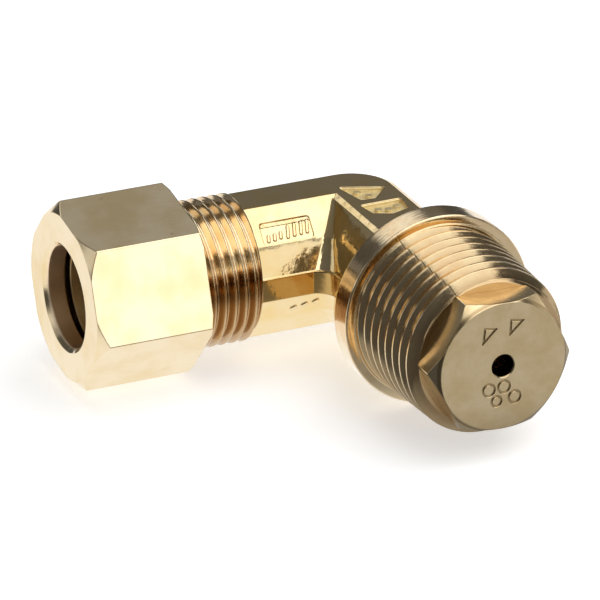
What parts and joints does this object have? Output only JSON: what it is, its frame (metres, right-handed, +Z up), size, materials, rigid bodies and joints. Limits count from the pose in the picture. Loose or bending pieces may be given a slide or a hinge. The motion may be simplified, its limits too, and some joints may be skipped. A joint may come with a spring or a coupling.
{
  "type": "compression orifice elbow",
  "caption": "Right-angle brass gas elbow with a hex compression nut and sleeve for a tube, and a collared tapered male thread carrying a drilled hex orifice spud.",
  "frame": {"origin": "point where the axes of the two legs cross, in the middle of the forged body", "axes": "-X along the compression leg out of the tube socket, -Y along the orifice leg out of its free end, +Z up, normal to the plane of the legs"},
  "size_m": [0.0405, 0.04, 0.019],
  "materials": {
    "forged_brass": "tumbled forging with machined ends",
    "turned_brass": "machined satin"
  },
  "bodies": {
    "elbow": {"elbow_body": "forged_brass"},
    "sleeve": {"compression_sleeve": "turned_brass"},
    "nut": {"compression_nut": "turned_brass"},
    "spud": {"orifice_spud": "turned_brass"}
  },
  "joints": [
    {"name": "nut_travel", "type": "slide", "parent": "elbow", "child": "sleeve", "axis": [-1, 0, 0], "range_m": [0, 0.008]},
    {"name": "nut_turn", "type": "hinge", "parent": "sleeve", "child": "nut", "pos_m": [-0.025, 0, 0], "axis": [-1, 0, 0], "range_deg": [0, 2720]},
    {"name": "spud_draw", "type": "slide", "parent": "elbow", "child": "spud", "axis": [0, -1, 0], "range_m": [0, 0.009]}
  ],
  "couplings": [
    {"joint": "nut_travel", "follows": "nut_turn", "m_per_rad": 0.00016843}
  ]
}
